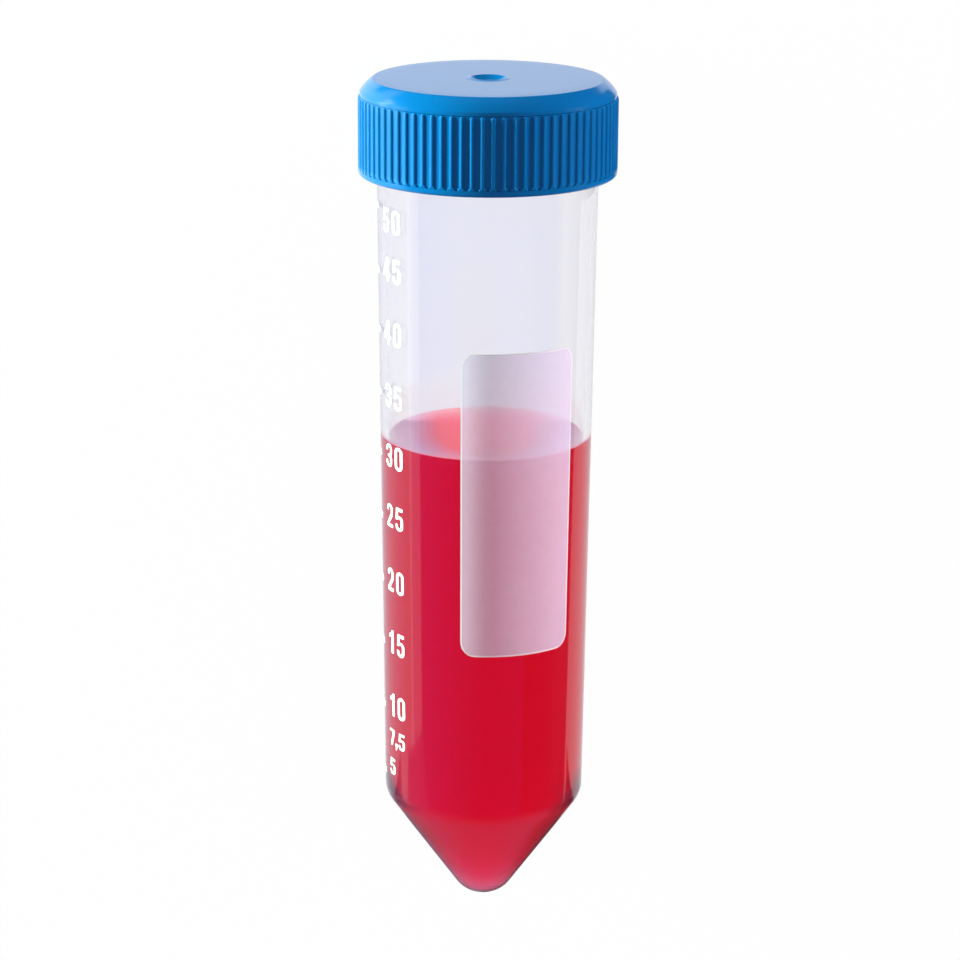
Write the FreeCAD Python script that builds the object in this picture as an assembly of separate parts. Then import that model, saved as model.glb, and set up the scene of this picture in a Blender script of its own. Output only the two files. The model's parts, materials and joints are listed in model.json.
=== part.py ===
import FreeCAD, Part
import os
from math import acos, atan2, degrees, hypot, radians, sin, tan

from FreeCAD import Placement, Rotation, Vector

# A 50 ml screw-capped conical centrifuge tube, part filled, lying as it comes to rest.
#
# Lengths are in millimetres and angles in degrees. Every piece is drawn upright, with the
# tube's axis on Z and the underside of its tip at height 0. Directions around the axis are
# counted from -Y towards +X: direction 0 is the side that ends up on top. At the end all the
# pieces are laid down together, tip towards -Y, on the cone's shoulder and the cap's band.

# Tube: one moulding of even wall, drafted so that it leaves its core, with a blunt cone.
tube_length = 115.0
mouth_radius = 15.1
cone_radius = 13.9
wall = 1.1
cone_half_angle = 35.4
cone_round = 3.6
tip_round = 5.1
rim_chamfer = 0.25

# Cap: skirt, roof and seal. The threads turn in the room between the neck and the skirt.
skirt_depth = 10.7
skirt_wall = 1.23
thread_room = 0.95
roof_thickness = 2.2
top_face_radius = 15.55
shoulder_drop = 1.6
band_height = 0.9
band_chamfer = 0.35

# Grip ribs: narrow ridges that run from the band to just under the shoulder.
rib_count = 80
rib_base_width = 0.66
rib_crest_width = 0.3
rib_height = 0.24
rib_root_depth = 0.3
rib_end_slope = 0.5
rib_start_below_top = 2.3
band_beyond_rib = 0.02

# Moulding gate: a dished recess in the middle of the roof, with the broken-off nub in it.
gate_radius = 2.2
gate_depth = 0.7
nub_radius = 0.2
nub_height = 0.45

# Seal: a ring under the roof that plugs the mouth.
plug_clearance = 0.15
plug_wall = 0.9
plug_depth = 2.6
plug_lead_in = 0.3

# Filling: the level stands square to the tube, as in a rack.
fill_level = 67.3
liquid_gap = 0.05

# Writing patch: a thin field of matt ink on the wall.
patch_width = 16.4
patch_height = 42.6
patch_bottom = 40.15
patch_direction = 19.0
patch_corner_round = 2.0
ink_thickness = 0.08
ink_gap = 0.02

# Turned faces begin this far round from +X, so that a facet is lowest and not a corner.
seam_turn = 4.5

UP = Vector(0, 0, 1)
SHORTEST_LINE = 1e-6
tip_corner_radius = tip_round * tan(radians(90 - cone_half_angle) / 2)
cone_height = (cone_radius - tip_corner_radius) / tan(radians(cone_half_angle))
draft = (mouth_radius - cone_radius) / (tube_length - cone_height)
skirt_bore_radius = mouth_radius + thread_room
skirt_radius = skirt_bore_radius + skirt_wall
rib_crest_radius = skirt_radius + rib_height
band_radius = rib_crest_radius + band_beyond_rib
skirt_bottom = tube_length - skirt_depth
band_top = skirt_bottom + band_height
cap_top = tube_length + roof_thickness


def corner_arc(before, corner, after, rounding):
    """Start, middle and end of the arc that rounds a corner between two straight sides."""
    back = (before - corner).normalize()
    ahead = (after - corner).normalize()
    half = back.getAngle(ahead) / 2
    inwards = (back + ahead).normalize()
    middle = corner + inwards * (rounding / sin(half) - rounding)
    reach = rounding / tan(half)
    return corner + back * reach, middle, corner + ahead * reach


def outline_edges(corners):
    """The closed run of lines and arcs through corners given as (x, z, rounding)."""
    points = [Vector(x, 0, z) for x, z, _ in corners]
    stops = []
    for i, (_, _, rounding) in enumerate(corners):
        if rounding > 0:
            stops.append(corner_arc(points[i - 1], points[i], points[(i + 1) % len(points)], rounding))
        else:
            stops.append([points[i]])
    edges = []
    for here, following in zip(stops, stops[1:] + stops[:1]):
        if len(here) == 3:
            edges.append(Part.Arc(*here).toShape())
        if here[-1].distanceToPoint(following[0]) > SHORTEST_LINE:
            edges.append(Part.makeLine(here[-1], following[0]))
    return edges


def flat_face(corners):
    """The flat face, standing on the XZ plane, inside such a run."""
    return Part.Face(Part.Wire(outline_edges(corners)))


def turned(corners):
    """The solid of revolution about the tube's axis of an outline in radius and height."""
    section = flat_face(corners).rotated(Vector(), UP, seam_turn)
    return section.revolve(Vector(), UP, 360)


def facing(shape, direction):
    """A shape drawn on the +X side, turned about the axis to face a direction."""
    return shape.rotated(Vector(), UP, direction - 90)


def wall_radius(height):
    """Outside radius of the drafted wall."""
    return cone_radius + (height - cone_height) * draft


def tube_outline(top, inset=0.0):
    """The tube's outside up to a height, from the tip's middle, moved inwards by inset."""
    corners = [
        (0, 0, 0),
        (tip_corner_radius, 0, tip_round),
        (cone_radius, cone_height, cone_round),
        (wall_radius(top), top, 0),
    ]
    points = [Vector(radius, 0, height) for radius, height, _ in corners]
    sides = [(b - a).normalize() for a, b in zip(points, points[1:])]
    normals = [Vector(side.z, 0, -side.x) for side in sides]
    moved = [(0, inset, 0)]
    for i in (1, 2):
        both = normals[i - 1] + normals[i]
        shifted = points[i] - both * (inset / (1 + normals[i - 1].dot(normals[i])))
        moved.append((shifted.x, shifted.z, corners[i][2] - inset))
    moved.append((wall_radius(top) - inset / normals[2].x, top, 0))
    return moved + [(0, top, 0)]


def make_tube():
    """The wall between the outside and the cavity, with the rim's two edges broken."""
    edge = tube_length - rim_chamfer
    outside = tube_outline(edge)[:-1]
    cavity = tube_outline(edge, wall)[:-1]
    rim = [
        (outside[-1][0] - rim_chamfer, tube_length, 0),
        (cavity[-1][0] + rim_chamfer, tube_length, 0),
    ]
    return turned(outside + rim + cavity[::-1])


def make_liquid():
    """The filled part of the cavity, a hair clear of the wall."""
    return turned(tube_outline(fill_level, wall + liquid_gap))


def cap_outline():
    """Half section of the cap, before the ribs are put on and the gate is sunk."""
    plug_radius = mouth_radius - wall - plug_clearance
    plug_bore_radius = plug_radius - plug_wall
    plug_bottom = tube_length - plug_depth
    return [
        (0, cap_top, 0),
        (top_face_radius, cap_top, 0),
        (skirt_radius, cap_top - shoulder_drop, 0),
        (skirt_radius, band_top, 0),
        (band_radius, band_top, 0),
        (band_radius, skirt_bottom + band_chamfer, 0),
        (band_radius - band_chamfer, skirt_bottom, 0),
        (skirt_bore_radius, skirt_bottom, 0),
        (skirt_bore_radius, tube_length, 0),
        (plug_radius, tube_length, 0),
        (plug_radius, plug_bottom + plug_lead_in, 0),
        (plug_radius - plug_lead_in, plug_bottom, 0),
        (plug_bore_radius, plug_bottom, 0),
        (plug_bore_radius, tube_length, 0),
        (0, tube_length, 0),
    ]


def make_rib():
    """One rib on the +X side, rooted in the skirt, with sloping sides and a sloping upper end."""
    top = cap_top - rib_start_below_top
    root = skirt_radius - rib_root_depth
    side_slope = (rib_base_width - rib_crest_width) / 2 / rib_height
    root_width = rib_base_width + 2 * rib_root_depth * side_slope
    ring = [
        Vector(root, -root_width / 2, band_top),
        Vector(rib_crest_radius, -rib_crest_width / 2, band_top),
        Vector(rib_crest_radius, rib_crest_width / 2, band_top),
        Vector(root, root_width / 2, band_top),
    ]
    bar = Part.Face(Part.makePolygon(ring + ring[:1])).extrude(UP * (top - band_top))
    upper_end = flat_face(
        [
            (rib_crest_radius, top - rib_end_slope, 0),
            (rib_crest_radius, top, 0),
            (skirt_radius, top, 0),
        ]
    )
    reach = Vector(0, root_width / 2, 0)
    return bar.cut(upper_end.translated(reach).extrude(-2 * reach))


def make_gate():
    """The dished recess, less the nub left standing in it, to be cut from the roof."""
    ball_radius = (gate_radius**2 + gate_depth**2) / (2 * gate_depth)
    floor = cap_top - gate_depth
    dish = Part.makeSphere(ball_radius, Vector(0, 0, floor + ball_radius))
    return dish.cut(Part.makeCylinder(nub_radius, nub_height, Vector(0, 0, floor)))


def make_cap():
    """Roof, skirt, plug and ribs, moulded as one."""
    rib = make_rib()
    ribs = [facing(rib, (i + 0.5) * 360 / rib_count) for i in range(rib_count)]
    return turned(cap_outline()).cut(make_gate()).fuse(ribs)


def make_patch():
    """A field of the wall's surface, one coat of ink thick, with rounded corners."""
    top = patch_bottom + patch_height
    low, high = wall_radius(patch_bottom) + ink_gap, wall_radius(top) + ink_gap
    coat = turned(
        [
            (low, patch_bottom, 0),
            (low + ink_thickness, patch_bottom, 0),
            (high + ink_thickness, top, 0),
            (high, top, 0),
        ]
    )
    middle_radius = (low + high) / 2
    reach = middle_radius * sin(patch_width / middle_radius / 2)
    stencil = flat_face(
        [
            (-reach, patch_bottom, patch_corner_round),
            (reach, patch_bottom, patch_corner_round),
            (reach, top, patch_corner_round),
            (-reach, top, patch_corner_round),
        ]
    )
    field = coat.common(stencil.extrude(Vector(0, -2 * mouth_radius, 0)))
    return field.rotated(Vector(), UP, patch_direction)


def tilt_over(shoulder, reach):
    """Angle between the axis and a floor under the shoulder's round and a point of the cap."""
    apart = reach - shoulder
    return acos(cone_round / hypot(apart.x, apart.z)) - atan2(apart.z, apart.x)


def resting_place(pieces):
    """The placement that lays the tube down, with the middle of its box over the origin."""
    corners = [Vector(radius, 0, height) for radius, height, _ in tube_outline(tube_length)[1:4]]
    _, middle, _ = corner_arc(*corners, cone_round)
    shoulder = middle - (corners[1] - middle).normalize() * cone_round
    band_edge = Vector(band_radius, 0, skirt_bottom + band_chamfer)
    tilt = tilt_over(shoulder, band_edge)
    lying = Placement(Vector(), Rotation(Vector(1, 0, 0), degrees(tilt) - 90))
    laid = Part.makeCompound(pieces)
    laid.Placement = lying
    box = laid.optimalBoundingBox(False)
    return Placement(Vector(-box.Center.x, -box.Center.y, -box.ZMin), Rotation()).multiply(lying)


pieces = {
    "tube": make_tube(),
    "cap": make_cap(),
    "red_liquid": make_liquid(),
    "writing_patch": make_patch(),
}
placement = resting_place(list(pieces.values()))
os.makedirs("parts", exist_ok=True)
for name, shape in pieces.items():
    shape.Placement = placement.multiply(shape.Placement)
    shape.exportStep(f"parts/{name}.step")
    print(name, len(shape.Solids), "solid,", round(shape.Volume, 1), "mm3, valid:", shape.isValid())
axis = placement.Rotation.multVec(UP)
print("axis of the tube:", [round(value, 6) for value in axis])
print("tip:", [round(value, 4) for value in placement.multVec(Vector())])
print("middle of the cap's top:", [round(value, 4) for value in placement.multVec(Vector(0, 0, cap_top))])
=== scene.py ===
import json
from math import atan2, ceil, cos, degrees, exp, hypot, pi, radians, sin, sqrt, tan

import bmesh
import bpy
from mathutils import Matrix, Vector


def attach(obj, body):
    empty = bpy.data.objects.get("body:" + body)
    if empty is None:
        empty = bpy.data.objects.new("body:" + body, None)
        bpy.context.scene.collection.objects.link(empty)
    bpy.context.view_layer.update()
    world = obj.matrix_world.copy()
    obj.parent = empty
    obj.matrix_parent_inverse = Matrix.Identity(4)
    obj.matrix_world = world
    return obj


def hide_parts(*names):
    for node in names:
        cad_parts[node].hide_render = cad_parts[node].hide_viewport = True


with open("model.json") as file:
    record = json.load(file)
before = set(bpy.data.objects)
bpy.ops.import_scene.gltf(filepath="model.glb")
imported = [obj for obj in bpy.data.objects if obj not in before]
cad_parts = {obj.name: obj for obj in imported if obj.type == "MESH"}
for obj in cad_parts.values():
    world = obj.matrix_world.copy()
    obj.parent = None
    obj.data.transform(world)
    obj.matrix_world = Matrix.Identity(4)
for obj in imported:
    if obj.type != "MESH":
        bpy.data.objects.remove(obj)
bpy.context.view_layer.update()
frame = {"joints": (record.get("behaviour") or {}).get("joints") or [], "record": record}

# Where the tube lies.
# The tube rests on its cone's shoulder and its cap's band, 2.4 degrees from level. Every piece is
# drawn upright, in millimetres, with the tip's underside at height 0 and the side that ends up on
# top towards -Y, and is then laid down by the one placement that the frame gives.
MM = 0.001
wall_mark = 93.0
mount_places = {mount["name"]: Vector(mount["pos_m"]) for mount in frame["record"]["mounts"]}
axis = Vector(frame["joints"][0]["axis"]).normalized()
across = Vector((1, 0, 0))
tip = mount_places["wall"] - axis * wall_mark * MM
laid = Matrix.Translation(tip) @ Matrix((across, axis.cross(across), axis)).transposed().to_4x4()

# Camera.
# A long lens looks down on the lying tube from beyond its cap, so that the cap's top just shows.
camera_distance = 436.88
camera_height = 188.50
camera_down, camera_turn, camera_roll = 16.251, 0.103, 0.366
camera_lens, camera_sensor = 123.16, 36
camera = bpy.data.objects.new("camera", bpy.data.cameras.new("camera"))
camera.data.lens, camera.data.sensor_width = camera_lens, camera_sensor
camera.matrix_world = (
    laid
    @ Matrix.Translation(Vector((0, -camera_distance, camera_height)) * MM)
    @ Matrix.Rotation(radians(camera_turn), 4, "Z")
    @ Matrix.Rotation(radians(90 - camera_down), 4, "X")
    @ Matrix.Rotation(radians(camera_roll), 4, "Z")
)
bpy.context.collection.objects.link(camera)
bpy.context.scene.camera = camera
bpy.context.scene.view_settings.view_transform = "Standard"


# Floor and light.
# A white table in a white studio: a long low softbox on the left, a soft key above it, a weaker
# fill on the right, a faint back light and two small glints. Only what mirrors them sees the dark
# cards that stand and lie round the tube, and sees the room dim and bluish.
class Value:
    """A shader node's output. Arithmetic on it adds Math nodes to the same node tree."""

    def __init__(self, socket):
        self.socket = socket

    def math(self, operation, *others):
        """This value taken through a Math node with others."""
        return self.join(operation, self, *others)

    def join(self, operation, *values):
        """A Math node on several values, of which this is one."""
        nodes, inputs = Nodes(self.socket.id_data), dict(enumerate(values))
        return nodes.node("ShaderNodeMath", {"operation": operation}, inputs)["Value"]

    def __add__(self, other):
        return self.join("ADD", self, other)

    def __sub__(self, other):
        return self.join("SUBTRACT", self, other)

    def __rsub__(self, other):
        return self.join("SUBTRACT", other, self)

    def __mul__(self, other):
        return self.join("MULTIPLY", self, other)

    __radd__ = __add__
    __rmul__ = __mul__


class Nodes:
    """A node tree, to which nodes are added by type."""

    def __init__(self, tree):
        self.tree = tree

    def node(self, kind, settings=None, inputs=None):
        """Adds a node: first its settings, then its sockets. Returns its outputs by name."""
        made = self.tree.nodes.new(kind)
        for name, value in (settings or {}).items():
            setattr(made, name, value)
        for name, value in (inputs or {}).items():
            if isinstance(value, Value):
                self.tree.links.new(value.socket, made.inputs[name])
            else:
                made.inputs[name].default_value = value
        return {output.name: Value(output) for output in made.outputs if output.enabled}


def tree_of(owner, output_kind):
    """The emptied node tree of a material or world, and its output node."""
    owner.use_nodes = True
    owner.node_tree.nodes.clear()
    return Nodes(owner.node_tree), owner.node_tree.nodes.new(output_kind)


def material(name, build):
    """A material whose surface, and volume if it has one, are what build returns."""
    made = bpy.data.materials.new(name)
    nodes, output = tree_of(made, "ShaderNodeOutputMaterial")
    for socket, shader in zip(("Surface", "Volume"), build(nodes)):
        nodes.tree.links.new(shader.socket, output.inputs[socket])
    return made


def noise(nodes, place, scale, detail=2.0):
    """Smooth noise in space, from 0 to 1, with that many features to a metre."""
    inputs = {"Vector": place, "Scale": scale, "Detail": detail}
    return nodes.node("ShaderNodeTexNoise", {}, inputs)["Fac"]


def blend(nodes, factor, a, b):
    """A colour that goes from one to another."""
    inputs = {"Factor": factor, "A": (*a, 1), "B": (*b, 1)}
    return nodes.node("ShaderNodeMix", {"data_type": "RGBA"}, inputs)["Result"]


def principled(nodes, inputs):
    """The general surface shader, with these inputs."""
    return nodes.node("ShaderNodeBsdfPrincipled", {}, inputs)["BSDF"]


def mixture(nodes, share, first, second):
    """A shader that goes from one to another."""
    return nodes.node("ShaderNodeMixShader", {}, {0: share, 1: first, 2: second})["Shader"]


def glowing(nodes, colour):
    """A surface that looks the same however it is lit."""
    inputs = {"Color": (*colour, 1), "Strength": 1.0}
    return nodes.node("ShaderNodeEmission", {}, inputs)["Emission"]


def seen_directly(nodes):
    """1 for what the camera sees straight, in a mirror or through glass, and 0 for the rest."""
    path = nodes.node("ShaderNodeLightPath")
    seen = path["Is Camera Ray"] + path["Is Glossy Ray"] + path["Is Transmission Ray"]
    return seen.math("MINIMUM", 1)


def build_floor(nodes):
    """Matt white laminate, whitened for the eye so that only a faint shadow is left on it."""
    where = nodes.node("ShaderNodeNewGeometry")["Position"]
    grain = noise(nodes, where, 60.0, 4.0)
    paint = {"Base Color": (0.88, 0.88, 0.88, 1), "Roughness": grain * 0.2 + 0.7}
    table = principled(nodes, paint)
    white = glowing(nodes, (1, 1, 1))
    return [mixture(nodes, seen_directly(nodes) * floor_whitening, table, white)]


floor_half_side = 3.0
floor_whitening = 0.985
floor_mesh = bpy.data.meshes.new("floor")
floor_corners = [(x, y, 0) for x, y in ((-1, -1), (1, -1), (1, 1), (-1, 1))]
floor_mesh.from_pydata([Vector(c) * floor_half_side for c in floor_corners], [], [(0, 1, 2, 3)])
floor_mesh.materials.append(material("white_table", build_floor))
floor = bpy.data.objects.new("floor", floor_mesh)
bpy.context.collection.objects.link(floor)

room_level, mirrored_room_level, bent_room_level = 0.37, 0.35, 1.0
mirrored_room_colour = (0.18, 0.18, 1)
world = bpy.data.worlds.new("room")
bpy.context.scene.world = world
room, room_output = tree_of(world, "ShaderNodeOutputWorld")
path = room.node("ShaderNodeLightPath")
room_light = path["Is Camera Ray"] * (1 - room_level) + room_level
room_light += path["Is Glossy Ray"] * (mirrored_room_level - room_level)
room_light += path["Is Transmission Ray"] * (bent_room_level - room_level)
room_colour = blend(room, path["Is Glossy Ray"], (1, 1, 1), mirrored_room_colour)
background = room.node("ShaderNodeBackground", {}, {"Color": room_colour, "Strength": room_light})
room.tree.links.new(background["Background"].socket, room_output.inputs["Surface"])


card_thickness = 0.0005


def card(name, corners, colour):
    """A sheet of card near the tube, there only for what mirrors it."""
    mesh = bpy.data.meshes.new(name)
    mesh.from_pydata(corners, [], [(0, 1, 2, 3)])
    mesh.materials.append(material(f"{name}_finish", lambda nodes: [glowing(nodes, colour)]))
    made = bpy.data.objects.new(name, mesh)
    made.visible_camera = made.visible_diffuse = False
    made.visible_transmission = made.visible_shadow = False
    bpy.context.collection.objects.link(made)


def standing(x0, y0, x1, y1, height):
    """Corners of a card that stands on the table between two places."""
    return [(x0, y0, 0), (x1, y1, 0), (x1, y1, height), (x0, y0, height)]


def lying(x0, y0, x1, y1):
    """Corners of a card that lies on the table."""
    return [(x, y, card_thickness) for x, y in ((x0, y0), (x1, y0), (x1, y1), (x0, y1))]


black, soot, charcoal = (0.02, 0.02, 0.02), (0.03, 0.03, 0.03), (0.05, 0.05, 0.05)
grey, slate_blue = (0.25, 0.25, 0.3), (0.17, 0.24, 0.5)
card("card_beside", standing(0.07, -0.25, 0.07, 0.25, 0.09), soot)
card("card_beside_cap", standing(0.026, 0.04, 0.026, 0.065, 0.05), soot)
card("card_beyond_cap", standing(-0.1, 0.1, 0.1, 0.1, 0.09), black)
card("card_before_cap", lying(-0.035, 0.071, 0.1, 0.1), black)
card("card_beyond_tip", standing(-0.15, -0.09, 0.12, -0.09, 0.06), slate_blue)
card("card_left_of_cone", lying(-0.06, -0.12, 0.0, -0.054), grey)
card("card_right_of_cone", lying(0.0, -0.12, 0.06, -0.054), charcoal)


def lamp(name, place, aim, size, watts, mirrored=False, colour=(1, 1, 1)):
    """A soft rectangular lamp, out of sight, with or without a reflection."""
    light = bpy.data.lights.new(name, "AREA")
    light.shape = "RECTANGLE"
    light.size, light.size_y = size
    light.energy = watts
    light.color = colour
    made = bpy.data.objects.new(name, light)
    made.location = place
    made.rotation_euler = (Vector(aim) - Vector(place)).to_track_quat("-Z", "Y").to_euler()
    made.visible_camera = False
    made.visible_transmission = False
    made.visible_glossy = mirrored
    bpy.context.collection.objects.link(made)


table_level = (0, 0.02, 0.015)
lamp("low_softbox", (-0.5, 0.0, 0.069), (0, 0, 0.069), (1.0, 0.138), 0.36, mirrored=True)
lamp("key", (-0.45, 0.13, 0.045), table_level, (0.4, 0.08), 6.3, colour=(0.85, 1.25, 1.03))
lamp("fill", (0.45, 0.13, 0.06), table_level, (0.4, 0.09), 2.1)
lamp("back", (0.0, 0.6, 0.05), (0, 0.06, 0.017), (0.5, 0.08), 0.6)
cap_shoulder = (0, 0.06, 0.03)
lamp("left_glint", (-0.07, 0.075, 0.001), cap_shoulder, (0.06, 0.03), 0.02, mirrored=True)
lamp("right_glint", (0.46, 0.235, 0.09), cap_shoulder, (0.1, 0.12), 0.15, mirrored=True)


# Tube.
# One injection moulding in clear polypropylene, a little milky. The wall is drafted so that it
# leaves its core; the cone was cut with a fine tool, whose rings the plastic keeps, and the neck
# carries one and a half turns of right-hand screw thread.
tube_length = 115.0
mouth_radius = 15.1
cone_radius = 13.9
wall = 1.1
cone_half_angle = 35.4
cone_round = 3.6
tip_radius = 2.63
tip_round = 4.2
rim_round = 0.3
inside_cone_round, inside_tip_round = 0.5, 1.0
liquid_level = 67.3
meniscus_height = 0.9
tube_columns = 384
cone_height = (cone_radius - tip_radius) / tan(radians(cone_half_angle))
draft = (mouth_radius - cone_radius) / (tube_length - cone_height)
thread_pitch = 3.9
thread_turns = 1.6
thread_start = 106.4
thread_foot, thread_crest = 0.95, 0.35
thread_run_out = 0.05
neck_thread_depth = 0.75
neck_foot, neck_height, neck_rows = thread_start - 2, 9.9, 60
cloud_depth = 0.08
ring_depth, ring_depth_on_cone = 0.05, 3.0
rings_in_a_metre, ring_waver = 1700, 0.8
corner_step = 8
crease_angle = 35
on_axis = 1e-6
plastic_index, wetted_index = 1.49, 1.12


def wall_radius(height):
    """Outside radius of the drafted wall."""
    return cone_radius + (height - cone_height) * draft


def corner_points(before, corner, after, rounding):
    """The arc that rounds a corner, as points no more than corner_step degrees apart."""
    back, ahead = (before - corner).normalized(), (after - corner).normalized()
    half = back.angle(ahead) / 2
    centre = corner + (back + ahead).normalized() * (rounding / sin(half))
    spoke = corner + back * (rounding / tan(half)) - centre
    steps = ceil((pi - 2 * half) / radians(corner_step))
    turn = (pi - 2 * half) / steps * (1 if back.cross(ahead) < 0 else -1)
    return [centre + Matrix.Rotation(turn * i, 2) @ spoke for i in range(steps + 1)]


def outline(corners, longest=2.5):
    """Points along a run of straight sides, given as (radius, height, rounding) corners."""
    places = [Vector(corner[:2]) for corner in corners]
    points = [places[0]]
    for before, here, after, corner in zip(places, places[1:], places[2:], corners[1:]):
        points += corner_points(before, here, after, corner[2]) if corner[2] else [here]
    points.append(places[-1])
    run = points[:1]
    for point in points[1:]:
        last = run[-1]
        steps = ceil((point - last).length / longest)
        run += [last.lerp(point, i / steps) for i in range(1, steps + 1)]
    return run


def shell_corners(top, inset=0.0):
    """Corners of the tube's outside up to a height, or of its sharper inside, moved in by inset."""
    rounds = (0, inside_tip_round, inside_cone_round) if inset else (0, tip_round, cone_round)
    corners = [
        (0, 0, 0),
        (tip_radius, 0, rounds[1]),
        (cone_radius, cone_height, rounds[2]),
        (wall_radius(top), top, 0),
    ]
    places = [Vector(corner[:2]) for corner in corners]
    sides = [(b - a).normalized() for a, b in zip(places, places[1:])]
    normals = [Vector((side.y, -side.x)) for side in sides]
    moved = [(0, inset, 0)]
    for i in (1, 2):
        both = normals[i - 1] + normals[i]
        shifted = places[i] - both * (inset / (1 + normals[i - 1].dot(normals[i])))
        moved.append((shifted.x, shifted.y, rounds[i]))
    return moved + [(wall_radius(top) - inset / normals[2].x, top, 0)]


def screw(direction, height, start, turns=thread_turns):
    """How far a thread stands up at a place, from 0 to 1. It climbs to the right."""
    highest = 0
    for turn in range(ceil(turns)):
        along = direction / (2 * pi) + turn
        middle = start + thread_pitch * along
        flank = (thread_foot - abs(height - middle)) / (thread_foot - thread_crest)
        run_out = min(along, turns - along) / thread_run_out
        highest = max(highest, min(flank, run_out, 1))
    return highest


def ring(radius, height, columns, warp=None):
    """Points round the axis, with warp(direction, radius, height) as their radius if given."""
    if radius < on_axis:
        return [(0, 0, height)]
    points = []
    for i in range(columns):
        direction = 2 * pi * i / columns
        reach = warp(direction, radius, height) if warp else radius
        points.append((reach * cos(direction), reach * sin(direction), height))
    return points


def skin(rings):
    """Vertices and faces between rings, whose numbers of points are multiples of each other."""
    vertices, faces = [], []
    last, last_start = None, 0
    for points in rings:
        start = len(vertices)
        vertices += points
        if last:
            fine, coarse = (points, last) if len(points) >= len(last) else (last, points)
            starts = (start, last_start) if fine is points else (last_start, start)
            fine_start, coarse_start = starts
            share, count = len(fine) // len(coarse), len(fine)
            for i in range(count):
                here, ahead = i // share, (i + 1) // share % len(coarse)
                face = [fine_start + i, fine_start + (i + 1) % count, coarse_start + ahead]
                faces.append(face + [coarse_start + here] * (here != ahead))
        last, last_start = points, start
    return vertices, faces


def piece(name, vertices, faces, finishes, body, slot, finish_of=None):
    """A shaded object drawn upright, laid down and riding on its body."""
    mesh = bpy.data.meshes.new(name)
    mesh.from_pydata([Vector(vertex) * MM for vertex in vertices], [], faces)
    form = bmesh.new()
    form.from_mesh(mesh)
    bmesh.ops.recalc_face_normals(form, faces=form.faces)
    form.to_mesh(mesh)
    form.free()
    for finish in finishes:
        mesh.materials.append(finish)
    if finish_of:
        for face in mesh.polygons:
            face.material_index = finish_of(face.center / MM)
    mesh.shade_smooth()
    mesh.set_sharp_from_angle(angle=radians(crease_angle))
    mesh.transform(laid)
    made = bpy.data.objects.new(name, mesh)
    bpy.context.collection.objects.link(made)
    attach(made, body)
    return made


def neck_radius(direction, radius, height):
    """The neck's outside, with its thread."""
    return radius + neck_thread_depth * screw(direction, height, thread_start)


def upright_place(nodes):
    """Where a point is on the upright tube, in metres, for a shader."""
    inputs = {
        "Vector": nodes.node("ShaderNodeTexCoord")["Object"],
        "Location": laid.to_translation(),
        "Rotation": laid.to_euler(),
    }
    return nodes.node("ShaderNodeMapping", {"vector_type": "TEXTURE"}, inputs)["Vector"]


def bumpy(nodes, height, strength, depth=0.00002):
    """The normal of a surface with a fine relief, of that depth in metres at height 1."""
    inputs = {"Height": height, "Distance": depth, "Strength": strength}
    return nodes.node("ShaderNodeBump", {}, inputs)["Normal"]


def tool_rings(nodes, place):
    """The mould's turning marks, as a height: uneven rings round the axis, deep on the cone."""
    height = nodes.node("ShaderNodeSeparateXYZ", {}, {"Vector": place})["Z"]
    waver = noise(nodes, place, 140.0, 1.0) * ring_waver
    inputs = {"W": height * rings_in_a_metre + waver, "Detail": 3.0}
    rings = nodes.node("ShaderNodeTexNoise", {"noise_dimensions": "1D"}, inputs)["Fac"]
    on_cone = ((cone_height + 1) * MM - height).math("GREATER_THAN", 0)
    return rings * (on_cone * ring_depth_on_cone + ring_depth)


def plastic(nodes, place, ior, roughness):
    """Clear plastic's surface, more or less polished."""
    cloud = noise(nodes, place, 160.0, 3.0)
    relief = cloud * cloud_depth + tool_rings(nodes, place)
    inputs = {
        "Base Color": blend(nodes, cloud, (0.995, 0.995, 1), (1, 1, 1)),
        "Roughness": cloud * 0.02 + roughness,
        "IOR": ior,
        "Transmission Weight": 1.0,
        "Normal": bumpy(nodes, relief, 0.5),
    }
    return principled(nodes, inputs)


def build_dry(haze, bloom):
    """The wall against air: mostly clear, with haze that scatters forwards and a blue bloom."""

    def build(nodes):
        place = upright_place(nodes)
        polished = plastic(nodes, place, plastic_index, 0.03)
        hazy = plastic(nodes, place, plastic_index, 0.5)
        blue = nodes.node("ShaderNodeBsdfDiffuse", {}, {"Color": (0.15, 0.15, 1, 1)})["BSDF"]
        return [mixture(nodes, bloom, mixture(nodes, haze, polished, hazy), blue)]

    return build


def build_wet(nodes):
    """The wall against the filling, which bends light far less than air does."""
    return [plastic(nodes, upright_place(nodes), wetted_index, 0.0)]


outer_plastic = material("polypropylene_outside", build_dry(haze=0.09, bloom=0.018))
inner_plastic = material("polypropylene_inside", build_dry(haze=0.0, bloom=0.015))
wetted_plastic = material("wetted_polypropylene", build_wet)
wetted_height = liquid_level + meniscus_height
outside = outline(shell_corners(tube_length)[:-1] + [(wall_radius(neck_foot), neck_foot, 0)])
neck_heights = [neck_foot + neck_height * i / neck_rows for i in range(1, neck_rows + 1)]
neck = [Vector((wall_radius(height), height)) for height in neck_heights]
inside_corners = shell_corners(tube_length, wall)
rim_inside = inside_corners[-1][0]
rim = outline([
    (neck[-1].x, neck[-1].y, 0),
    (mouth_radius, tube_length, rim_round),
    (rim_inside, tube_length, rim_round),
    (rim_inside, tube_length - 1, 0),
])[1:-1]
wet_radius = shell_corners(wetted_height, wall)[-1][0]
inside_dry = outline([inside_corners[-1], (wet_radius, wetted_height, 0)])[1:]
inside_wet = outline(shell_corners(wetted_height, wall))[-2::-1]
tube_rings = [ring(*point, tube_columns) for point in outside]
tube_rings += [ring(*point, tube_columns, neck_radius) for point in neck]
tube_rings += [ring(*point, tube_columns) for point in rim + inside_dry + inside_wet]


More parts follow.
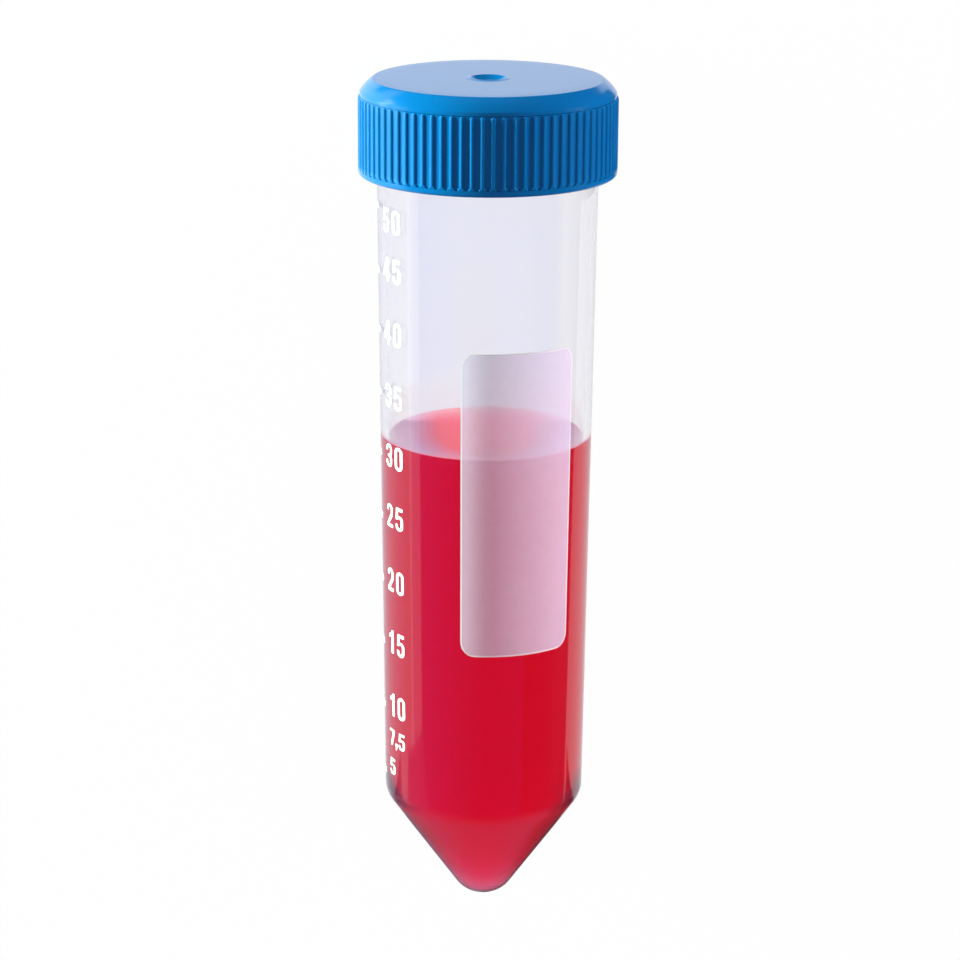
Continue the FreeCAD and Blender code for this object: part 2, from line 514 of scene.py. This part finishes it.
def inside_wall(centre):
    """Whether a face belongs to the tube's inside, by its distance from the axis."""
    on_cone = tip_radius + centre.z * tan(radians(cone_half_angle))
    half_wall = wall / 2 / cos(radians(cone_half_angle))
    half_way = min(wall_radius(centre.z) - wall / 2, on_cone - half_wall)
    return hypot(centre.x, centre.y) < half_way and centre.z > wall / 2


def wall_side(centre):
    """0 on the wall's outside, and inside it 1 where it is dry and 2 where it is wetted."""
    return inside_wall(centre) * (1 + int(centre.z < wetted_height))


wall_finishes = [outer_plastic, inner_plastic, wetted_plastic]
tube = piece("tube_wall", *skin(tube_rings), wall_finishes, "tube", "clear_plastic", wall_side)
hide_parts("tube")


# Filling.
# A deep red watery dye solution, clear, that climbs a little at the wall. Its sides and bottom
# touch the plastic, so only its top bends light. Over the top lies a matt layer that faintly glows
# with painted light: red in its middle, and a mauve painted reflection near the wall.
meniscus_reach = 1.1
liquid_gap = 0.02
surface_steps, surface_bunching = 24, 2.2
water_index = 1.33
# Share of the top covered by the matt layer of painted light.
painted_top_share = 0.55
# Painted light on the top: a red glow in the middle and a mauve painted reflection near the wall.
middle_painted_colour, middle_painted_glow = (1, 0.3, 0.3), (1, 0.12, 0.05)
edge_painted_colour, edge_painted_glow = (1, 0.72, 0.85), (0.68, 0.36, 0.4)
edge_from, edge_fade = 0.007, 260
front_from, front_share = 0.004, 0.6
below_level, least_upward = 0.3, 0.3
dye_strength = 430.0
dye_passes = (0.967, 0.0, 0.25, 1)


def build_liquid(nodes):
    """Coloured water: a refracting top, sides without a surface of their own, and dye between."""
    place = upright_place(nodes)
    along = nodes.node("ShaderNodeSeparateXYZ", {}, {"Vector": place})
    ripple = noise(nodes, place, 90.0)
    inputs = {
        "Base Color": (1, 1, 1, 1),
        "Roughness": ripple * 0.01,
        "IOR": water_index,
        "Transmission Weight": 1.0,
        "Normal": bumpy(nodes, ripple, 0.3),
    }
    clear = principled(nodes, inputs)
    # The painted red glow of the middle runs on to the back. Towards the sides and the front the
    # painted light turns to mauve.
    forward = (along["Y"] - front_from).math("MINIMUM", 0) * front_share
    from_middle = (along["X"] * along["X"] + forward * forward).math("SQRT")
    near_wall = ((from_middle - edge_from) * edge_fade).math("MAXIMUM", 0).math("MINIMUM", 1)
    # The matt layer's base colour and glow are painted light, not a lamp: red in the middle, mauve
    # near the wall.
    paint = {
        "Base Color": blend(nodes, near_wall, middle_painted_colour, edge_painted_colour),
        "Emission Color": blend(nodes, near_wall, middle_painted_glow, edge_painted_glow),
        "Emission Strength": 1.0,
        "Roughness": 1.0,
        "Specular IOR Level": 0.0,
    }
    top = mixture(nodes, painted_top_share, clear, principled(nodes, paint))
    side = nodes.node("ShaderNodeBsdfTransparent", {}, {"Color": (1, 1, 1, 1)})["BSDF"]
    upright = {0: nodes.node("ShaderNodeTexCoord")["Normal"], 1: axis}
    upward = nodes.node("ShaderNodeVectorMath", {"operation": "DOT_PRODUCT"}, upright)["Value"]
    high_up = along["Z"].math("GREATER_THAN", (liquid_level - below_level) * MM)
    on_top = high_up * upward.math("GREATER_THAN", least_upward)
    dye = {"Color": dye_passes, "Density": dye_strength}
    absorbing = nodes.node("ShaderNodeVolumeAbsorption", {}, dye)["Volume"]
    return [mixture(nodes, on_top, side, top), absorbing]


liquid_inset = wall + liquid_gap
liquid_corners = shell_corners(wetted_height, liquid_inset)
wetted_edge = liquid_corners[-1][0]
meniscus = []
for i in range(1, surface_steps + 1):
    radius = wetted_edge * (1 - (i / surface_steps) ** surface_bunching)
    climb = meniscus_height * exp((radius - wetted_edge) / meniscus_reach)
    meniscus.append((radius, liquid_level + climb))
liquid_rings = [ring(*point, tube_columns) for point in outline(liquid_corners) + meniscus]
red_dye = material("red_dye_solution", build_liquid)
liquid = piece("red_solution", *skin(liquid_rings), [red_dye], "tube", "red_liquid")
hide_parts("red_liquid")


# Cap.
# One moulding in blue polyethylene: a flat roof with a dished gate recess in its middle, a bevelled
# shoulder, eighty half-round grip ribs that end on a plain band, and inside it the screw thread
# and the ring that plugs the mouth.
cap_top = 117.2
skirt_bottom = 104.3
band_top = 105.2
top_face_radius = 15.54
bevel_middle = (16.55, 116.37)
shoulder_foot = 115.45
valley_radius = 17.25
valley_edge_fade = 0.08
band_radius = 17.48
rib_count = 80
rib_radius = 0.34
rib_centre = 17.16
rib_top = 114.9
rib_offsets = (-0.36, -0.32, -0.25, -0.13, 0.0, 0.13, 0.25, 0.32, 0.36, 0.6775)
bore_radius = 16.05
bore_foot, bore_top, bore_rows = skirt_bottom + 0.4, tube_length - 0.4, 50
skirt_thread_depth = 0.83
roof_underside = tube_length + 0.05
plug_radius, plug_bore = 13.85, 12.95
plug_bottom = 112.4
gate_radius, gate_depth = 2.3, 0.68
gate_steps, gate_curve, gate_lip = 18, 3.2, 0.1
nub_radius, nub_top = 0.19, 116.95
plain_columns = 160


def rib_surface(offset, height):
    """Radius of the grip at a distance round from a rib's crest. The valleys end in a U."""
    half_pitch = pi * valley_radius / rib_count
    above = max(0.0, height - (rib_top - rib_radius))
    rise = rib_radius**2 - offset**2 - above**2
    rib = rib_centre + sqrt(max(rise, 0.0))
    slot = half_pitch - rib_radius
    below = max(0.0, band_top + slot - height)
    beyond = (hypot(half_pitch - abs(offset), below) - slot) / valley_edge_fade + 0.5
    fill = min(max(beyond, 0.0), 1.0) if below > 0 else 0.0
    return max(valley_radius + fill * (band_radius - valley_radius), rib)


def grip_ring(height):
    """Points round the ribbed skirt, with ten to each rib."""
    points = []
    for i in range(rib_count):
        crest = radians((i + 0.5) * 360 / rib_count - 90)
        for offset in rib_offsets:
            direction = crest + offset / valley_radius
            radius = rib_surface(offset, height)
            points.append((radius * cos(direction), radius * sin(direction), height))
    return points


def skirt_thread(direction, radius, height):
    """The skirt's bore, with the thread that runs between the neck's."""
    start, turns = thread_start + thread_pitch / 2, thread_turns - 0.2
    return radius - skirt_thread_depth * screw(direction, height, start, turns)


def build_cap(nodes):
    """Blue plastic with a fine satin skin."""
    place = upright_place(nodes)
    skin_grain = noise(nodes, place, 2600.0)
    waves = noise(nodes, place, 180.0, 3.0)
    inputs = {
        "Base Color": blend(nodes, waves, (0.0, 0.118, 0.36), (0.0, 0.134, 0.4)),
        "Roughness": skin_grain * 0.06 + 0.15,
        "IOR": 1.44,
        "Normal": bumpy(nodes, skin_grain * 0.15 + waves, 0.4),
    }
    return [principled(nodes, inputs)]


dish_floor = cap_top - gate_depth
roof = [(0, nub_top), (0.1, nub_top), (0.16, nub_top - 0.03), (nub_radius, nub_top - 0.1)]
roof.append((nub_radius, dish_floor))
for i in range(2, gate_steps + 1):
    radius = gate_radius * i / gate_steps
    roof.append((radius, dish_floor + gate_depth * (radius / gate_radius) ** gate_curve))
roof += [(gate_radius + reach, cap_top + gate_lip) for reach in (0.12, 0.3)]
roof.append((gate_radius + 0.55, cap_top))
bevel = outline([
    (gate_radius + 0.9, cap_top, 0),
    (top_face_radius, cap_top, 0.5),
    (*bevel_middle, 4.0),
    (valley_radius, shoulder_foot, 0.35),
    (valley_radius, rib_top + 0.06, 0),
])
grip_heights = [
    114.9, 114.885, 114.85, 114.79, 114.7, 114.56, 113.5, 112.0, 110.5, 109.0, 107.5, 106.4, 105.8,
    105.6, 105.5, 105.42, 105.36, 105.31, 105.27, 105.24, 105.21,
]
lower_edge = outline([
    (band_radius, band_top - 0.02, 0),
    (band_radius, skirt_bottom, 0.45),
    (bore_radius + 0.2, skirt_bottom, 0),
    (bore_radius, skirt_bottom + 0.2, 0),
])
bore_step = (bore_top - bore_foot) / bore_rows
bore = [(bore_radius, bore_foot + bore_step * i) for i in range(bore_rows + 1)]
seal = outline([
    (bore_radius, roof_underside - 0.35, 0),
    (bore_radius, roof_underside, 0.3),
    (plug_radius, roof_underside, 0.2),
    (plug_radius, plug_bottom, 0.35),
    (plug_bore, plug_bottom, 0.2),
    (plug_bore, roof_underside, 0.3),
    (0, roof_underside, 0),
])
cap_rings = [ring(*point, plain_columns) for point in roof + bevel]
cap_rings += [grip_ring(height) for height in grip_heights]
cap_rings += [ring(*point, plain_columns) for point in lower_edge]
cap_rings += [ring(*point, plain_columns, skirt_thread) for point in bore]
cap_rings += [ring(*point, plain_columns) for point in seal]
blue_plastic = material("blue_polyethylene", build_cap)
cap = piece("screw_cap", *skin(cap_rings), [blue_plastic], "cap", "blue_plastic")
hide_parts("cap")


# Writing patch.
# A field of matt white ink, screen-printed on the wall for writing on: thin enough to let the
# contents show through, and thicker along its edge.
patch_bottom, patch_top = 40.15, 82.75
patch_left, patch_right = -13.4, 51.5
patch_round = 2.0
patch_rim = 0.22
patch_columns, patch_rows, corner_rows = 28, 20, 6
ink_thickness = 0.05
ink_lift = 0.01


def on_wall(direction, height, lift):
    """A place that far off the wall, at a direction in degrees from the upper side to the right."""
    turn = radians(direction - 90)
    radius = wall_radius(height) + lift
    return (radius * cos(turn), radius * sin(turn), height)


def slab(rows):
    """A closed coat on the wall, from rows of (direction, height) places of equal number."""
    count, width = len(rows), len(rows[0])
    lifts = (ink_lift, ink_lift + ink_thickness)
    vertices = [on_wall(*place, lift) for lift in lifts for row in rows for place in row]
    over = count * width
    faces = []
    for i in range(count - 1):
        for j in range(width - 1):
            first = i * width + j
            corners = [first, first + 1, first + width + 1, first + width]
            faces += [corners[::-1], [over + corner for corner in corners]]
    edge = list(range(width))
    edge += [i * width + width - 1 for i in range(1, count)]
    edge += [(count - 1) * width + j for j in range(width - 2, -1, -1)]
    edge += [i * width for i in range(count - 2, 0, -1)]
    for here, ahead in zip(edge, edge[1:] + edge[:1]):
        faces.append([here, ahead, over + ahead, over + here])
    return vertices, faces


def build_ink(cover, colour):
    """Matt ink that hides what is behind it by that share on each of its two faces."""

    def build(nodes):
        place = upright_place(nodes)
        mottle = noise(nodes, place, 700.0, 4.0)
        darker = [0.94 * part for part in colour]
        inputs = {
            "Base Color": blend(nodes, noise(nodes, place, 60.0), colour, darker),
            "Roughness": mottle * 0.2 + 0.55,
            "Alpha": mottle * 0.04 + (cover - 0.02),
            "Normal": bumpy(nodes, mottle, 0.6, depth=0.00003),
        }
        return [principled(nodes, inputs)]

    return build


def patch_row(height):
    """Directions across the patch at a height, closer together along its two edges."""
    lost = patch_round - min(height - patch_bottom, patch_top - height)
    cut = patch_round - sqrt(max(patch_round**2 - lost**2, 0)) if lost > 0 else 0
    per_mm = degrees(1 / wall_radius(height))
    left, right = patch_left + cut * per_mm, patch_right - cut * per_mm
    rim_width = patch_rim * per_mm
    step = (right - left - 2 * rim_width) / patch_columns
    middle = [left + rim_width + step * i for i in range(patch_columns + 1)]
    return [(direction, height) for direction in [left, *middle, right]]


corner_turns = [radians(90) * i / corner_rows for i in range(corner_rows + 1)]
end_rows = sorted([patch_round * (1 - cos(turn)) for turn in corner_turns] + [patch_rim])
row_step = (patch_top - patch_bottom - 2 * patch_round) / patch_rows
middle_rows = [patch_round + row_step * i for i in range(1, patch_rows)]
patch_heights = [patch_bottom + rise for rise in end_rows + middle_rows]
patch_heights += [patch_top - rise for rise in reversed(end_rows)]


def patch_edge(centre):
    """1 along the edge of the patch, where the ink is thicker, and 0 on its field."""
    direction = degrees(atan2(centre.y, centre.x)) + 90
    row = patch_row(centre.z)
    beside = direction < row[1][0] or direction > row[-2][0]
    return int(beside or centre.z < patch_bottom + patch_rim or centre.z > patch_top - patch_rim)


patch_inks = [
    material("thin_white_ink", build_ink(0.45, (0.94, 0.76, 1.0))),
    material("thick_white_ink", build_ink(0.7, (1.0, 0.93, 1.0))),
]
patch_form = slab([patch_row(height) for height in patch_heights])
patch = piece("writing_field", *patch_form, patch_inks, "tube", "white_ink", patch_edge)
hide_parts("writing_patch")


# Volume scale.
# White ink, screen-printed on the wall: at each 5 ml a bold condensed number in opaque ink, and
# to the left of it a short line in a thinner coat.
line_start, line_end, line_steps = -78.0, -87.0, 20
line_thickness = 0.7
line_heights = (19.3, 29.1, 38.55, 47.7, 56.9, 65.85, 74.5, 83.15, 91.45, 100.35)
opaque_ink = material("opaque_white_ink", build_ink(1.0, (0.95, 0.95, 0.96)))
faint_ink = material("faint_white_ink", build_ink(0.45, (1, 1, 1)))
line_step = (line_start - line_end) / line_steps
line_places = [line_end + line_step * i for i in range(line_steps + 1)]
for volume, height in zip(range(5, 55, 5), line_heights):
    edges = (height - line_thickness / 2, height + line_thickness / 2)
    rows = [[(direction, edge) for direction in line_places] for edge in edges]
    piece(f"line_{volume}_ml", *slab(rows), [faint_ink], "tube", "white_ink")

digit_height = 3.3
first_left, digit_pitch, digit_width = -68.5, 10.4, 7.2
own_width = {"1": 5.6, "4": 8.2}
strips = 6
number_heights = {
    50: 99.1, 45: 92.4, 40: 83.7, 35: 74.9, 30: 66.4, 25: 57.85, 20: 48.6, 15: 39.55, 10: 30.25,
}
printed = []
for number, middle in number_heights.items():
    bottom = middle - digit_height / 2
    for i, digit in enumerate(str(number)):
        width = own_width.get(digit, digit_width)
        left = first_left + i * digit_pitch + (digit_width - width) / 2
        printed.append((number, digit, left, left + width, bottom, bottom + digit_height))
printed += [
    ("7_5", "7", -69.2, -62.2, 24.15, 26.5),
    ("7_5", ",", -61.4, -59.0, 23.75, 24.7),
    ("7_5", "5", -57.6, -51.4, 24.1, 26.55),
    (5, "5", -69.0, -61.9, 19.75, 22.15),
]

# The outlines of bold condensed numbers, one or two loops each, in widths of the printed stroke.
round_loop = [
    (0, 3.85, 0), (0, 7.7, 1.65), (3.3, 7.7, 1.65), (3.3, 0, 1.65), (0, 0, 1.65), (0, 3.85, 0),
]
round_hole = [
    (1, 3.85, 0), (1, 6.7, 0.65), (2.3, 6.7, 0.65), (2.3, 1, 0.65), (1, 1, 0.65), (1, 3.85, 0),
]
upper_bowl = [(0, 5.4, 0), (0, 7.7, 1.65), (3.3, 7.7, 1.65)]
upper_bowl_inside = [(2.3, 6.7, 0.65), (1, 6.7, 0.65), (1, 5.4, 0), (0, 5.4, 0)]
lower_bowl = [(3.3, 0, 1.65), (0, 0, 1.65), (0, 2.2, 0), (1, 2.2, 0), (1, 1, 0.65)]
waist = [(3.3, 4.1, 0.9), (2.75, 3.85, 0), (3.3, 3.6, 0.9)]
waist_inside = [(2.3, 1, 0.65), (2.3, 3.35, 0.6), (1.2, 3.35, 0), (1.2, 4.35, 0), (2.3, 4.35, 0.6)]
numerals = {
    "0": [round_loop, round_hole],
    "1": [[
        (1.2, 0), (2.3, 0), (2.3, 7.7), (1.4, 7.7), (1.1, 6.9), (0, 6.2), (0, 5.0), (1.2, 5.7),
        (1.2, 0),
    ]],
    "2": [[
        *upper_bowl, (3.3, 4.2, 1.4), (1.35, 1.1), (3.3, 1.1), (3.3, 0), (0, 0), (0, 1),
        (2.3, 4.5, 0.8), *upper_bowl_inside,
    ]],
    "3": [upper_bowl + waist + lower_bowl + waist_inside + upper_bowl_inside],
    "4": [
        [
            (1.9, 0), (2.85, 0), (2.85, 1.7), (3.4, 1.7), (3.4, 2.7), (2.85, 2.7), (2.85, 7.7),
            (1.75, 7.7), (0, 2.8), (0, 1.7), (1.9, 1.7), (1.9, 0),
        ],
        [(0.95, 2.7), (1.9, 5.5), (1.9, 2.7), (0.95, 2.7)],
    ],
    "5": [[
        (0.35, 7.7), (3.1, 7.7), (3.1, 6.6), (1.25, 6.6), (1.1, 4.95), (3.3, 5.15, 1.5),
        *lower_bowl, (2.3, 1, 0.65), (2.3, 4.15, 0.65), (1.0, 4.1, 0.3), (0.95, 3.6),
        (0.05, 3.75), (0.35, 7.7),
    ]],
    "7": [[(0, 7.7), (3.3, 7.7), (3.3, 6.7), (1.9, 0), (0.75, 0), (2.2, 6.6), (0, 6.6), (0, 7.7)]],
    ",": [[(0, 1), (0, 2), (1, 2), (1, 1), (0.5, 0), (0.05, 0), (0.45, 1), (0, 1)]],
}


def numeral_mesh(character):
    """A numeral as a closed mesh, one unit wide, high and thick, in upright strips to be bent."""
    drawing = bpy.data.curves.new("numeral", "CURVE")
    drawing.dimensions = "2D"
    drawing.fill_mode = "BOTH"
    drawing.extrude = 0.5
    for corners in numerals[character]:
        points = outline([(*corner, 0)[:3] for corner in corners], longest=99)[:-1]
        loop = drawing.splines.new("POLY")
        loop.points.add(len(points) - 1)
        for point, place in zip(loop.points, points):
            point.co = (*place, 0, 1)
        loop.use_cyclic_u = True
    drawn = bpy.data.objects.new("numeral", drawing)
    mesh = bpy.data.meshes.new_from_object(drawn)
    bpy.data.objects.remove(drawn)
    form = bmesh.new()
    form.from_mesh(mesh)
    bmesh.ops.remove_doubles(form, verts=form.verts, dist=1e-5)
    low = Vector([min(v.co[k] for v in form.verts) for k in range(3)])
    high = Vector([max(v.co[k] for v in form.verts) for k in range(3)])
    for v in form.verts:
        v.co = Vector([(v.co[k] - low[k]) / (high[k] - low[k]) for k in range(3)])
    for i in range(1, strips):
        whole = form.verts[:] + form.edges[:] + form.faces[:]
        bmesh.ops.bisect_plane(form, geom=whole, plane_co=(i / strips, 0, 0), plane_no=(1, 0, 0))
    vertices = [v.co.copy() for v in form.verts]
    form.verts.index_update()
    faces = [[v.index for v in face.verts] for face in form.faces]
    form.free()
    bpy.data.meshes.remove(mesh)
    return vertices, faces


number_parts = {}
for number, character, left, right, bottom, top in printed:
    flat, faces = numeral_mesh(character)
    vertices, all_faces = number_parts.setdefault(number, ([], []))
    start = len(vertices)
    for x, y, depth in flat:
        lift = ink_lift + depth * ink_thickness
        vertices.append(on_wall(left + x * (right - left), bottom + y * (top - bottom), lift))
    all_faces += [[start + corner for corner in face] for face in faces]
for number, (vertices, faces) in number_parts.items():
    piece(f"number_{number}", vertices, faces, [opaque_ink], "tube", "white_ink")
